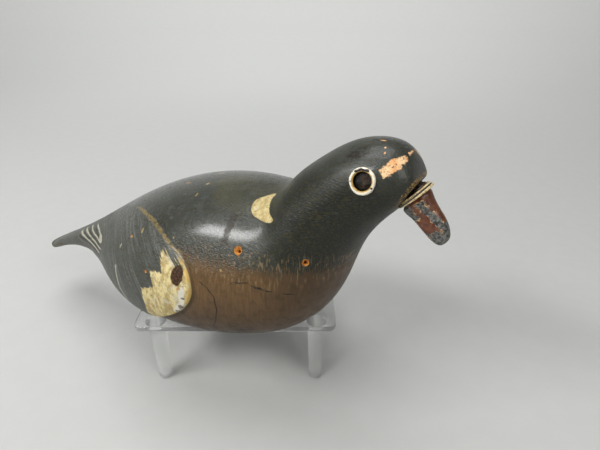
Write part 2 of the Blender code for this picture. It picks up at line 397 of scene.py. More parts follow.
eyeShape = {
    "place": (99.7, 22.2, 187.7),
    "facing": (0.05, 0.96, 0.27),
    "ringRadius": 6.02,
    "ringTube": 1.06,
    "ringSegments": (120, 24),
    "ringSetIn": 0.25,
    "ringUneven": (3.0, 0.35),
    "socket": [(6.6, 12), (6.6, -0.9), (5.55, -1.3), (5.5, -8.3)],
    "ringSplits": [
        ((95.6, 0, 192.2), (98.4, 0, 193.5), 0.62, 0.9, 0.8),
        ((98.4, 0, 193.5), (102.2, 0, 193.3), 0.62, 0.9, 0.8),
    ],
    "ringChips": [((105.3, 0, 185.3), (0.6, 1, 0.5), 0.8, 0.9)],
    "ballRadius": 5.35,
    "ballHalfDepth": 1.9,
    "ballSegments": (64, 32),
    "ballSetIn": 1.2,
    "ballUneven": (2.5, 0.9),
}

# the axis runs out of the collar and down
billShape = {
    "place": (121.4, 0, 176.5),
    "axis": (0.735, 0, -0.678),
    "rise": (0.678, 0, 0.735),
    "ringPoints": 12,
    "levels": 3,
    "uneven": (5.0, 0.28),
    # out along the axis, centre above it, half height, half width
    "sections": [
        (-7.5, 0, 6.2, 6.2),
        (-6.5, 0, 6.5, 6.5),
        (-3.6, 0.2, 6.6, 6.6),
        (-3.0, 0.3, 8.5, 8.3),
        (-1.4, 0.3, 8.5, 8.3),
        (0.0, 0, 7.2, 7.0),
        (1.2, -0.6, 8.6, 7.8),
        (2.2, -1.0, 9.5, 8.5),
        (5, -1.3, 8.9, 7.7),
        (10, -1.8, 7.5, 6.5),
        (18, -2.2, 7.3, 6.3),
        (24, -3.1, 6.1, 5.4),
        (27.9, -3.9, 4.4, 3.8),
        (29.3, -4.3, 2.2, 2.0),
    ],
    "collarTilt": 3.0,
    "collarBack": 0.6,
    "collarUneven": (3.0, 0.25),
    # radius and height of each turned step, two beads with a groove between
    "collar": [
        (8.6, -1.75), (9.7, -1.75), (10.3, -1.55), (10.45, -1.25), (10.0, -1.0), (9.7, -0.8), (9.7, -0.55),
        (10.2, -0.4), (10.8, -0.2), (10.95, 0.25), (10.8, 0.75), (10.2, 1.05), (8.6, 1.1),
    ],
    "bore": [(7.4, 4), (7.4, -4)],
}

# pits left by shot: each step's share of the mouth's radius, and its height in millimetres
pitShape = {
    "steps": [(1.5, 1.4), (1.0, 0.1), (0.62, -1.3), (0.42, -1.8)],
    "bottom": 0.36,
    "uneven": 0.16,
    "sides": 18,
}
# place, facing, mouth radius, depth
shotPits = [
    ((35.5, -44.7, 139.6), (0.12, -0.78, 0.62), 2.5, 5.0),
    ((74.3, -34.2, 138.1), (0.55, -0.8, 0.25), 2.0, 6.0),
    ((-23.5, -64.7, 117.2), (-0.1, -0.94, 0.3), 1.15, 3.0),
    ((8.0, 47.0, 142.6), (0.05, 0.76, 0.65), 2.6, 5.0),
    ((60.5, 40.8, 128.0), (0.5, 0.85, 0.15), 2.2, 5.5),
]


def paintAll(thing, material):
    thing.data.materials.clear()
    thing.data.materials.append(material)
    return thing


def cutOpenings(skin, eyeWood, brokenWood, shotWood):
    tools = []
    for side in (1, -1):
        place = at(*sided(eyeShape["place"], side))
        socket = addTurned("socket", eyeShape["socket"], place, sided(eyeShape["facing"], side))
        tools.append(paintAll(socket, eyeWood))
    for place, facing, mouth, depth in shotPits:
        steps = [(mouth * share, height) for share, height in pitShape["steps"]]
        steps.append((mouth * pitShape["bottom"], -depth))
        pit = addTurned("pit", steps, at(*place), facing, pitShape["sides"])
        pick(pit)
        openMesh()
        bpy.ops.transform.vertex_random(offset=pitShape["uneven"] * mouth * mm, seed=len(tools))
        closeMesh()
        tools.append(paintAll(pit, shotWood))
    tools.append(paintAll(makeBreakCutter(), brokenWood))
    cutAway(skin, tools)


# the head's broken face behind the collar, ragged where the wood tore
breakShape = {
    "size": (29.2, 46, 30),
    "behind": 3.05,
    "above": 2.2,
    "lean": 13.5,
    "torn": (2.2, 1.2),  # size and depth of the splinters
}


def breakFacing():
    # which way the broken face looks, and a point on it in millimetres
    turn = math.radians(breakShape["lean"])
    axis = Vector(billShape["axis"]).normalized()
    way = Vector(billShape["rise"]).normalized() * math.sin(turn) + axis * math.cos(turn)
    return tuple(way), tuple(Vector(billShape["place"]) - axis * breakShape["behind"])


def makeBreakCutter():
    axis = Vector(billShape["axis"])
    rise = Vector(billShape["rise"])
    bpy.ops.mesh.primitive_cube_add(size=1)
    block = bpy.context.object
    block.scale = [size * mm for size in breakShape["size"]]
    settle(block, "break")
    openMesh()
    bpy.ops.mesh.subdivide(number_cuts=15)
    bpy.ops.mesh.subdivide(number_cuts=1)
    closeMesh()
    lean = Matrix.Rotation(math.radians(breakShape["lean"]), 4, "Y")
    middle = Matrix.Translation((breakShape["above"] * mm, 0, breakShape["size"][2] * mm / 2))
    start = Matrix.Translation(at(*billShape["place"]) - axis * breakShape["behind"] * mm)
    block.matrix_world = start @ facingMatrix(axis, rise) @ lean @ middle
    settle(block, "break")
    roughen(block, *breakShape["torn"])
    return block


# node helpers: sums, noise and masks are set up in the tree that their inputs belong to
def add(tree, kind, inputs=None, **settings):
    node = tree.nodes.new(kind)
    for key, value in settings.items():
        setattr(node, key, value)
    for key, value in (inputs or {}).items():
        if isinstance(value, bpy.types.NodeSocket):
            tree.links.new(value, node.inputs[key])
        else:
            node.inputs[key].default_value = value
    return node


def treeOf(*values):
    # the node tree that the first linked value belongs to
    return next(value.id_data for value in values if isinstance(value, bpy.types.NodeSocket))


def calc(operation, *values, clamp=False):
    settings = {"operation": operation, "use_clamp": clamp}
    return add(treeOf(*values), "ShaderNodeMath", dict(enumerate(values)), **settings).outputs[0]


def plus(first, second):
    return calc("ADD", first, second)


def minus(first, second):
    return calc("SUBTRACT", first, second)


def times(first, *others):
    for other in others:
        first = calc("MULTIPLY", first, other)
    return first


def shift(operation, *values):
    # a sum on places or directions
    node = add(treeOf(*values), "ShaderNodeVectorMath", dict(enumerate(values)), operation=operation)
    plain = operation in ("LENGTH", "DISTANCE", "DOT_PRODUCT")
    return node.outputs["Value" if plain else "Vector"]


def stretch(place, along, across, up):
    return shift("MULTIPLY", place, (along, across, up))


def cloud(place, scale, detail=3, rough=0.5):
    inputs = {"Vector": place, "Scale": scale, "Detail": detail, "Roughness": rough}
    return add(treeOf(place), "ShaderNodeTexNoise", inputs).outputs["Fac"]


def ease(value, low, high, start=0.0, end=1.0):
    inputs = {"Value": value, "From Min": low, "From Max": high, "To Min": start, "To Max": end}
    return add(treeOf(value), "ShaderNodeMapRange", inputs, interpolation_type="SMOOTHSTEP").outputs[0]


def blend(mask, under, over):
    node = add(treeOf(mask), "ShaderNodeMix", {0: mask}, data_type="RGBA")
    for index, value in ((6, under), (7, over)):
        if isinstance(value, bpy.types.NodeSocket):
            node.id_data.links.new(value, node.inputs[index])
        else:
            node.inputs[index].default_value = (*value, 1)
    return node.outputs[2]


def readMark(tree, name):
    return add(tree, "ShaderNodeAttribute", attribute_name=name).outputs["Fac"]


def newMaterial(name, **values):
    material = bpy.data.materials.new(name)
    material.use_nodes = True
    shader = material.node_tree.nodes["Principled BSDF"]
    for key, value in values.items():
        shader.inputs[key.replace("_", " ")].default_value = value
    return material, material.node_tree, shader


def measured(tree):
    # the surface's place in millimetres from the bird's measuring point
    place = add(tree, "ShaderNodeTexCoord").outputs["Object"]
    return shift("MULTIPLY", shift("SUBTRACT", place, tuple(datum)), (1000, 1000, 1000))


def offAxis(place, middle, axis):
    # distance from a line that runs through the middle
    away = shift("SUBTRACT", place, tuple(middle))
    return shift("LENGTH", shift("CROSS_PRODUCT", away, tuple(Vector(axis).normalized())))


def finishShader(shader, colour, roughness=None, height=None, depth=1.0):
    tree = shader.id_data
    tree.links.new(colour, shader.inputs["Base Color"])
    if roughness is not None:
        tree.links.new(roughness, shader.inputs["Roughness"])
    if height is not None:
        bump = add(tree, "ShaderNodeBump", {"Height": height, "Distance": mm, "Strength": depth})
        tree.links.new(bump.outputs[0], shader.inputs["Normal"])


def newGroup(name, **inputs):
    group = bpy.data.node_groups.new(name, "ShaderNodeTree")
    for label, value in inputs.items():
        kind = "NodeSocketVector" if isinstance(value, tuple) else "NodeSocketFloat"
        group.interface.new_socket(name=label, in_out="INPUT", socket_type=kind).default_value = value
    group.interface.new_socket(name="Mask", in_out="OUTPUT", socket_type="NodeSocketFloat")
    return group, group.nodes.new("NodeGroupInput").outputs, group.nodes.new("NodeGroupOutput").inputs


def makeStrokeMask():
    # a ragged stroke between two points: scratches, cracks, streaks and worn stretches
    inputs = {"Place": (0, 0, 0), "From": (0, 0, 0), "To": (1, 0, 0), "Width": 1, "Ragged": 1, "Grain": 0.5}
    group, given, result = newGroup("strokeMask", **inputs)
    noise = {"Vector": given["Place"], "Scale": given["Grain"], "Detail": 3}
    wobble = add(group, "ShaderNodeTexNoise", noise)
    drift = shift("SUBTRACT", wobble.outputs["Color"], (0.5, 0.5, 0.5))
    scaled = add(group, "ShaderNodeVectorMath", {0: drift, "Scale": given["Ragged"]}, operation="SCALE")
    place = shift("ADD", given["Place"], scaled.outputs[0])
    run = shift("SUBTRACT", given["To"], given["From"])
    reach = shift("SUBTRACT", place, given["From"])
    share = calc("DIVIDE", shift("DOT_PRODUCT", reach, run), shift("DOT_PRODUCT", run, run), clamp=True)
    foot = add(group, "ShaderNodeVectorMath", {0: run, "Scale": share}, operation="SCALE").outputs[0]
    away = calc("DIVIDE", shift("DISTANCE", reach, foot), given["Width"])
    group.links.new(ease(away, 0.7, 1.15, 1.0, 0.0), result["Mask"])
    return group


def makeSpotMask():
    # a ragged spot: chips, worn holes and dabs of paint
    inputs = {"Place": (0, 0, 0), "Middle": (0, 0, 0), "Size": (1, 1, 1), "Ragged": 0.5, "Grain": 0.5}
    group, given, result = newGroup("spotMask", **inputs)
    away = shift("SUBTRACT", given["Place"], given["Middle"])
    near = shift("LENGTH", shift("DIVIDE", away, given["Size"]))
    wobble = cloud(given["Place"], given["Grain"], 4)
    drift = times(minus(wobble, 0.5), given["Ragged"])
    group.links.new(ease(plus(near, drift), 0.85, 1.1, 1.0, 0.0), result["Mask"])
    return group


strokeMask = makeStrokeMask()
spotMask = makeSpotMask()


def stroke(place, start, end, width, ragged, grain):
    inputs = {"Place": place, "From": start, "To": end, "Width": width, "Ragged": ragged, "Grain": grain}
    return add(treeOf(place), "ShaderNodeGroup", inputs, node_tree=strokeMask).outputs["Mask"]


def spot(place, middle, size, ragged, grain):
    inputs = {"Place": place, "Middle": middle, "Size": size, "Ragged": ragged, "Grain": grain}
    return add(treeOf(place), "ShaderNodeGroup", inputs, node_tree=spotMask).outputs["Mask"]


def anyOf(masks):
    total = masks[0]
    for mask in masks[1:]:
        total = calc("MAXIMUM", total, mask)
    return total


def without(mask, other):
    return calc("MULTIPLY", mask, calc("SUBTRACT", 1.0, other, clamp=True), clamp=True)


def marked(place, strokes, spots=()):
    # one mask for lists of strokes and spots
    return anyOf([stroke(place, *mark) for mark in strokes] + [spot(place, *mark) for mark in spots])


# paint on the wooden skin

paint = {
    "slateDark": (0.024, 0.027, 0.022),
    "slate": (0.040, 0.044, 0.039),
    "slateLight": (0.064, 0.069, 0.063),
    "slateWing": (0.078, 0.081, 0.074),
    "slateWingStroke": (0.145, 0.150, 0.136),
    "slateNeckPaintedShade": (0.010, 0.011, 0.008),
    "slateTail": (0.115, 0.118, 0.106),
    "olive": (0.040, 0.036, 0.016),
    "yellowed": (0.062, 0.058, 0.028),
    "breast": (0.150, 0.084, 0.034),
    "breastMid": (0.098, 0.055, 0.023),
    "breastPaintedShade": (0.038, 0.021, 0.009),
    "breastMottle": (0.045, 0.033, 0.016),
    "breastFleck": (0.06, 0.036, 0.018),
    "breastTan": (0.25, 0.17, 0.085),
    "cream": (0.62, 0.52, 0.26),
    "creamDirty": (0.33, 0.24, 0.09),
    "creamGrey": (0.50, 0.46, 0.36),
    "creamStroke": (0.70, 0.66, 0.50),
    "creamFleck": (0.20, 0.13, 0.05),
    "ochre": (0.66, 0.44, 0.13),
    "whiteStrip": (0.60, 0.59, 0.53),
    "stripHole": (0.11, 0.085, 0.07),
    "wornEdge": (0.20, 0.145, 0.05),
    "bareWood": (0.72, 0.36, 0.15),
    "palerWood": (0.86, 0.58, 0.32),
    "woodGrain": (0.34, 0.13, 0.04),
    "shotWood": (0.80, 0.36, 0.06),
    "brownSpot": (0.085, 0.036, 0.014),
    "smear": (0.036, 0.026, 0.019),
    "grime": (0.018, 0.014, 0.010),
    "grooveDarkening": (0.040, 0.030, 0.015),
    "paleNickAndHighlight": (0.36, 0.35, 0.27),
    "orangeNick": (0.40, 0.20, 0.06),
    "feather": (0.47, 0.45, 0.34),
    "featherShade": (0.022, 0.021, 0.013),
    "shadedRubbedTailEnd": (0.010, 0.007, 0.004),
    "shadedTailFleck": (0.060, 0.038, 0.014),
    "tailUndersideShade": (0.075, 0.052, 0.022),
    "tornDark": (0.030, 0.018, 0.008),
    "tornLight": (0.34, 0.21, 0.06),
}

# outlines of the cream paint, in millimetres: seen from above, and from the side
neckPatch = [
    (32.6, 26.5), (32, 21.5), (35, 17.8), (41.5, 12.8), (41.6, 17.5),
    (42.6, 21.5), (46, 27), (51.5, 32), (41.7, 30.8), (36, 29.6),
]
wingPatch = [
    (-17, 135), (-13.7, 126), (-10.4, 119.3), (-19.2, 119), (-18.3, 115), (-16.3, 109), (-26.3, 106),
    (-25.8, 100), (-25.3, 93), (-27.5, 85), (-25, 70), (24, 70), (24, 116), (8, 123.8), (-1, 128.2),
    (-7, 131), (-12, 134),
]

# marks in millimetres. A stroke is two ends, half width, raggedness and grain, and a spot is a middle,
# half sizes, raggedness and grain. Where y is 100 either way the mark is set out as seen from that side.
marks = {
    "foreheadStrokes": [
        ((109.9, -17.8, 193.3), (113.5, -13.8, 196.6), 3.0, 4.0, 0.55),
        ((113.5, -13.8, 196.6), (116.2, -8.9, 198.6), 2.1, 3.6, 0.6),
        ((116.6, -4.0, 199.8), (117.0, 1.0, 200.0), 0.9, 3.0, 0.7),
        ((116.6, 4.8, 199.6), (119.4, 8.6, 195.4), 0.55, 1.4, 0.6),
        ((101.5, 14, 198.5), (106.5, 16.5, 195.5), 2.0, 4.0, 0.5),
    ],
    "foreheadSpots": [
        ((105.6, -9.5, 202.7), (0.5, 0.9, 0.9), 1.0, 0.9),
        ((106.6, -12.3, 200.9), (0.5, 0.8, 0.8), 1.0, 0.9),
        ((102.4, -4.2, 204.7), (1.6, 0.5, 2.0), 1.0, 0.9),
    ],
    "scuffs": [
        ((89.5, -17.2, 195.8), (96.5, -12.6, 200.8), 4.0, 5.0, 0.4),
        ((97.5, -3.5, 204.5), (103.5, -1.5, 205), 1.8, 3.0, 0.4),
        ((90, 14, 198.5), (95, 16.5, 197), 2.6, 4.0, 0.4),
    ],
    "smears": [
        ((25.1, -34.0, 153.9), (25.5, -45.2, 141.8), 2.4, 4.2, 0.45),
        ((28.5, 33.0, 155.0), (31.5, 40.0, 148.0), 1.8, 2.2, 0.4),
    ],
    "chips": [
        ((-10.9, -14.7, 161.3), (1.3, 1.1, 2), 0.9, 0.6),
        ((-11.4, -25.3, 157.5), (0.6, 1.5, 2), 0.9, 0.6),
        ((-40.6, -48.3, 134.2), (0.9, 2, 2.1), 0.8, 0.5),
        ((-10.2, -50.0, 138.1), (0.6, 1, 0.6), 0.6, 0.9),
        ((-34, 27, 157), (1.3, 1.9, 2), 0.9, 0.6),
    ],
    "sideChips": [((27.9, -100, 128.2), (0.8, 3, 0.7), 0.6, 0.6)],
    "paleSpots": [((-59, -54.2, 120.6), (0.8, 2, 2.0), 0.8, 0.5)],
    # painted highlight along the wing's lower edge, seen from the side
    "lowerWingHighlight": [
        ((-58, -100, 108.5), (-54.3, -100, 96), 0.9, 1.2, 0.2),
        ((-53.6, -100, 94), (-48.6, -100, 87), 1.0, 1.2, 0.2),
    ],
    "nicks": [
        ((-13.5, 2.0, 163.2), (2.9, 0.8, 2), 1.0, 0.7),
        ((-31, -12.4, 157), (2.2, 0.9, 2), 1.2, 0.7),
        ((-50.2, -51, 128.2), (2.0, 2, 0.8), 1.0, 0.7),
    ],
    "sideNicks": [
        ((-24.6, -100, 92.5), (1.1, 5, 1.3), 0.9, 0.7),
        ((3.6, -100, 113.6), (1.3, 5, 0.9), 0.9, 0.7),
    ],
    "brownSpots": [
        ((1.2, -100, 120.8), (4.4, 5, 6.0), 0.5, 0.5),
        ((-2.2, 100, 118.0), (3.6, 5, 5.0), 0.6, 0.5),
    ],
    "whiteStrips": [
        ((5.6, -100, 113), (5.4, -100, 103.5), 2.1, 1.6, 0.4),
        ((5.4, -100, 103.5), (0.4, -100, 97), 1.9, 1.6, 0.4),
    ],
    "stripHoles": [
        ((6.6, -100, 107.6), (1.3, 5, 0.8), 1.0, 0.6),
        ((4.2, -100, 101.0), (1.7, 5, 1.5), 1.0, 0.6),
        ((0.8, -100, 96.8), (1.2, 5, 0.8), 1.0, 0.6),
    ],
    "cracks": [
        ((15.5, -100, 119.6), (21.2, -100, 116.3), 0.22, 0.9, 0.3),
        ((21.2, -100, 116.3), (25.6, -100, 111.2), 0.30, 0.9, 0.3),
        ((25.6, -100, 111.2), (26.9, -100, 102.7), 0.36, 0.9, 0.3),
        ((26.9, -100, 102.7), (24.2, -100, 92.5), 0.36, 0.9, 0.3),
        ((24.2, -100, 92.5), (19.5, -100, 85), 0.24, 0.9, 0.3),
        ((16.2, -100, 95.4), (24.8, -100, 93.6), 0.30, 1.2, 0.4),
        ((35.4, -100, 122.2), (45.2, -100, 124.0), 0.26, 1.6, 0.4),
        ((47.4, -100, 122.3), (59, -100, 119.3), 0.30, 2.0, 0.4),
        ((63.6, -100, 118.3), (69.2, -100, 117.0), 0.30, 1.6, 0.4),
        ((10, 100, 112), (34, 100, 106), 0.3, 1.4, 0.3),
        ((40, 100, 110), (58, 100, 112.5), 0.26, 1.6, 0.3),
    ],
    "crackHoles": [
        ((51.6, -100, 121.4), (1.7, 5, 0.65), 0.9, 0.7),
        ((66.5, -100, 117.6), (1.4, 5, 0.5), 0.9, 0.7),
        ((38.5, -100, 86.4), (2.0, 5, 0.8), 0.9, 0.6),
        ((-2.9, -100, 79), (1.6, 5, 0.8), 0.9, 0.6),
    ],
    # pale feather lines on the tail's sides: x and z of both ends, half width
    "featherLines": [
        ((-154, 91.6), (-97, 99.3), 0.66),
        ((-148, 95.3), (-94, 103.4), 0.56),
        ((-139, 99.9), (-98, 106.0), 0.48),
        ((-126, 105.9), (-103, 108.2), 0.50),
    ],
}


def markSkin(skin):
    spots = readPoints(skin)
    x, y, z = spots.T
    mirrored = y > 0
    neck = inside(rounded(neckPatch), x, np.abs(y) + np.where(mirrored, 0.8, 0))
    writeValues(skin, "neckMark", np.where(z > 140, neck, -9))
    patch = inside(wingPatch, x + np.where(mirrored, 3.0, 0), z + np.where(mirrored, -2.0, 0))
    writeValues(skin, "patchMark", np.clip(patch, -12, 12))


def readSurface(tree):
    # places, marks and brushwork that all layers of paint share
    place = measured(tree)
    x, y, z = add(tree, "ShaderNodeSeparateXYZ", {0: place}).outputs
    hand = calc("SIGN", y)
    along, around, wing = (readMark(tree, name) for name in ("along", "around", "wingMark"))
    sweep = times(minus(along, ease(around, 20, 100, 0.0, 1.5)), 20.0)
    roundWing = {0: sweep, 1: times(around, 0.03), 2: times(hand, 4.0)}
    return SimpleNamespace(
        place=place,
        x=x,
        z=z,
        fromSide=add(tree, "ShaderNodeCombineXYZ", {0: x, 1: times(hand, 100.0), 2: z}).outputs[0],
        along=along,
        around=around,
        wing=wing,
        onWing=ease(wing, -0.6, 0.3),
        neckMark=readMark(tree, "neckMark"),
        patchMark=readMark(tree, "patchMark"),
        wingFront=times(ease(along, 6.6, 6.9), ease(around, 58, 66)),
        wingBrush=cloud(add(tree, "ShaderNodeCombineXYZ", roundWing).outputs[0], 1.0, 5, 0.65),
        bodyBrush=cloud(stretch(place, 0.22, 1.2, 1.2), 1.0, 4, 0.65),
        downBrush=cloud(stretch(place, 0.75, 0.75, 0.07), 1.0, 4, 0.62),
        hairs=cloud(stretch(place, 0.22, 0.85, 0.85), 1.0, 4, 0.7),
        blotch=cloud(place, 0.028, 4, 0.55),
        mottle=cloud(place, 0.16, 5, 0.6),
        fleck=cloud(place, 0.85, 3, 0.6),
    )


def slateLayer(on):
    # slate grey, brushed with lighter and darker strokes, darkest on the neck, where near black is painted in
    # as shade
    colour = blend(ease(on.blotch, 0.35, 0.65), paint["slateDark"], paint["slate"])
    colour = blend(ease(on.mottle, 0.40, 0.80, 0.0, 0.7), colour, paint["slateLight"])
    colour = blend(times(on.onWing, 0.65), colour, paint["slateWing"])
    lightStrokes = times(ease(on.wingBrush, 0.50, 0.64), on.onWing)
    darkStrokes = times(ease(on.wingBrush, 0.36, 0.47, 1.0, 0.0), on.onWing)
    colour = blend(times(lightStrokes, 0.7), colour, paint["slateWingStroke"])
    colour = blend(times(darkStrokes, 0.5), colour, paint["slateDark"])
    # painted shade: the neck is darkened to near black
    onNeck = times(ease(on.along, 8.8, 10.6), ease(on.z, 178, 196, 1.0, 0.0))
    colour = blend(times(onNeck, 0.9), colour, paint["slateNeckPaintedShade"])
    colour = blend(ease(on.hairs, 0.50, 0.62, 0.0, 0.75), colour, paint["olive"])
    colour = blend(ease(on.x, -190, -110, 0.55, 0.0), colour, paint["slateTail"])
    colour = blend(ease(on.hairs, 0.34, 0.46, 0.45, 0.0), colour, paint["slateLight"])
    colour = blend(ease(on.fleck, 0.52, 0.68, 0.0, 0.5), colour, paint["olive"])
    nape = spot(on.place, (24, -16, 166), (34, 16, 22), 1.4, 0.04)
    return blend(times(nape, ease(on.blotch, 0.3, 0.7, 0.2, 0.7)), colour, paint["yellowed"])


def breastLayer(on, colour):
    # brown breast below a brushed, uneven edge, darker towards the bottom and the front as painted shade
    # painted shade: the breast goes darker low down and at the front
    low = anyOf([ease(on.z, 74, 124, 1.0, 0.0), ease(on.x, 34, 86, 0.0, 0.75)])
    warm = blend(ease(on.downBrush, 0.28, 0.78), paint["breastMid"], paint["breast"])
    warm = blend(ease(on.mottle, 0.46, 0.66, 0.0, 0.45), warm, paint["breastMottle"])
    warm = blend(times(low, ease(on.blotch, 0.3, 0.7, 0.6, 1.0)), warm, paint["breastPaintedShade"])
    warm = blend(ease(on.fleck, 0.58, 0.72, 0.0, 0.5), warm, paint["breastFleck"])
    edge = plus(on.z, times(minus(on.downBrush, 0.5), 38.0))
    upper = ease(edge, 128.5, 133.5)
    rear = ease(on.along, 3.6, 4.6, 1.0, 0.0)
    ridge = times(ease(on.around, 44, 62, 1.0, 0.0), ease(on.along, 6.4, 7.2, 1.0, 0.0))
    colour = blend(anyOf([upper, on.onWing, rear, ridge]), warm, colour)
    border = times(ease(on.z, 118, 126), ease(on.z, 136, 146, 1.0, 0.0))
    tanned = times(border, ease(on.downBrush, 0.52, 0.66), 0.55, ease(on.along, 7.2, 7.8))
    return blend(without(tanned, on.onWing), colour, paint["breastTan"])


def creamLayer(on, colour):
    # cream patches on the neck and the wing, put on with a stiff brush
    streaky = times(minus(on.wingBrush, 0.5), 7.0)
    crumbly = times(minus(cloud(on.place, 0.7, 4, 0.6), 0.5), 2.0)
    neck = ease(plus(on.neckMark, times(crumbly, 0.3)), -0.15, 0.25)
    patch = ease(plus(on.patchMark, plus(streaky, crumbly)), -0.3, 0.4)
    patch = times(patch, ease(on.wing, 0.2, 0.7), ease(on.around, 56, 58.5))
    gaps = without(ease(on.wingBrush, 0.46, 0.50), ease(on.around, 66, 74))
    gaps = times(gaps, times(ease(on.wing, 1.6, 2.2), ease(on.wing, 5.0, 6.5, 1.0, 0.0)))
    cream = anyOf([neck, without(patch, gaps)])
    stain = ease(cloud(stretch(on.place, 0.34, 0.34, 0.14), 1.0, 5, 0.7), 0.42, 0.58)
    creamy = blend(times(stain, 0.85), paint["cream"], paint["creamDirty"])
    creamy = blend(times(neck, ease(on.mottle, 0.35, 0.58, 0.75, 0.2)), creamy, paint["creamDirty"])
    creamy = blend(ease(on.mottle, 0.56, 0.66, 0.0, 0.6), creamy, paint["creamGrey"])
    creamy = blend(ease(on.wingBrush, 0.56, 0.66, 0.0, 0.5), creamy, paint["creamStroke"])
    creamy = blend(ease(on.fleck, 0.60, 0.66, 0.0, 0.9), creamy, paint["creamFleck"])
    colour = blend(cream, colour, creamy)
    rim = times(ease(on.wing, -0.3, 0.2), ease(on.wing, 1.3, 2.0, 1.0, 0.0), on.wingFront)
    ochre = blend(ease(on.mottle, 0.45, 0.62), paint["ochre"], paint["cream"])
    colour = blend(times(rim, 0.9), colour, ochre)
    colour = blend(times(marked(on.fromSide, marks["whiteStrips"]), 0.8), colour, paint["whiteStrip"])
    colour = blend(times(marked(on.fromSide, [], marks["stripHoles"]), 0.85), colour, paint["stripHole"])
    return colour, cream


def wornEdgeLayer(on, colour):
    # worn line where the wing leaves the back
    crumbly = cloud(on.place, 0.42, 4, 0.7)
    ragged = times(minus(crumbly, 0.5), 3.0)
    line = ease(calc("ABSOLUTE", plus(on.wing, plus(ragged, 0.4))), 0.8, 1.5, 1.0, 0.0)
    line = times(line, times(ease(on.around, 29, 33), ease(on.around, 56, 64, 1.0, 0.0)))
    line = times(line, ease(on.along, 5.7, 5.9), ease(crumbly, 0.40, 0.56, 0.25, 0.9))
    return blend(line, colour, paint["wornEdge"])


def wearLayer(on, colour):
    # chips, scratches and scuffs, each where the old paint has gone, and pale strokes down the wing's lower
    # part painted as a highlight
    forehead = marked(on.place, marks["foreheadStrokes"], marks["foreheadSpots"])
    forehead = times(forehead, ease(cloud(on.place, 0.62, 4, 0.7), 0.36, 0.42))
    bare = blend(ease(on.mottle, 0.4, 0.62), paint["bareWood"], paint["palerWood"])
    bare = blend(ease(on.fleck, 0.58, 0.66, 0.0, 0.6), bare, paint["woodGrain"])
    colour = blend(forehead, colour, bare)
    scuffs = times(marked(on.place, marks["scuffs"]), ease(cloud(on.place, 0.42, 5, 0.75), 0.46, 0.53))
    colour = blend(times(scuffs, 0.9), colour, paint["grime"])
    smears = times(marked(on.place, marks["smears"]), ease(on.mottle, 0.3, 0.6, 0.35, 0.8))
    colour = blend(smears, colour, paint["smear"])
    chips = anyOf([marked(on.place, [], marks["chips"]), marked(on.fromSide, [], marks["sideChips"])])
    colour = blend(times(chips, 0.85), colour, paint["creamDirty"])
    # pale nicks where the paint has gone, and a painted highlight along the wing's lower edge
    pale = anyOf([marked(on.place, [], marks["paleSpots"]), marked(on.fromSide, marks["lowerWingHighlight"])])
    colour = blend(times(pale, 0.85), colour, paint["paleNickAndHighlight"])
    nicks = anyOf([marked(on.place, [], marks["nicks"]), marked(on.fromSide, [], marks["sideNicks"])])
    colour = blend(times(nicks, 0.85), colour, paint["orangeNick"])
    naked = times(marked(on.fromSide, [], marks["brownSpots"]), on.onWing)
    crust = blend(ease(on.fleck, 0.4, 0.6), paint["brownSpot"], paint["grime"])
    return blend(naked, colour, crust), anyOf([forehead, naked, smears])


def featherLayer(on, colour):
    pale, dark = [], []
    for near in (-100, 100):
        for start, end, width in marks["featherLines"]:
            ends = [(x, near, z) for x, z in (start, end)]
            lower = [(x + 2, near, z - 1.7) for x, z in (start, end)]
            pale.append(stroke(on.fromSide, *ends, width, 1.6, 0.06))
            dark.append(stroke(on.fromSide, *lower, width + 0.25, 1.6, 0.06))
        pale.append(spot(on.fromSide, (-101, near, 107.3), (5.5, 5, 1.7), 0.7, 0.4))
    sides = ease(on.around, 14, 30)
    colour = blend(times(anyOf(dark), sides, 0.8), colour, paint["featherShade"])
    faded = times(anyOf(pale), sides, ease(on.mottle, 0.28, 0.46))
    return blend(times(faded, 0.7), colour, paint["feather"])


def tailLayer(on, colour):
    # rubbed brown end of the tail, darkened further as painted shade, and a streak of painted shade along the
    # tail's underside
    edge = plus(on.x, times(minus(on.mottle, 0.5), 14.0))
    tail = times(ease(edge, -219, -204, 1.0, 0.0), 0.9)
    shadedRubbedEnd = blend(ease(on.fleck, 0.4, 0.6), paint["shadedRubbedTailEnd"], paint["shadedTailFleck"])
    # painted shade along the tail's underside edge
    streak = stroke(on.fromSide, (-218, -100, 55.5), (-186, -100, 70.5), 1.9, 2.0, 0.15)
    return blend(times(streak, 0.75), blend(tail, colour, shadedRubbedEnd), paint["tailUndersideShade"]), tail


def tornLayer(on, colour):
    # ochre wood showing where the paint has torn off along the break above the bill
    breakWay, breakPlace = breakFacing()
    past = shift("DOT_PRODUCT", shift("SUBTRACT", on.place, breakPlace), breakWay)
    frayed = times(minus(cloud(on.place, 0.7, 4, 0.7), 0.5), 3.4)
    torn = times(ease(plus(past, frayed), -2.3, -1.6), ease(on.z, 166, 184))
    crumbs = ease(cloud(on.place, 0.9, 3, 0.6), 0.42, 0.54)
    return blend(torn, colour, blend(crumbs, paint["tornLight"], paint["tornDark"]))


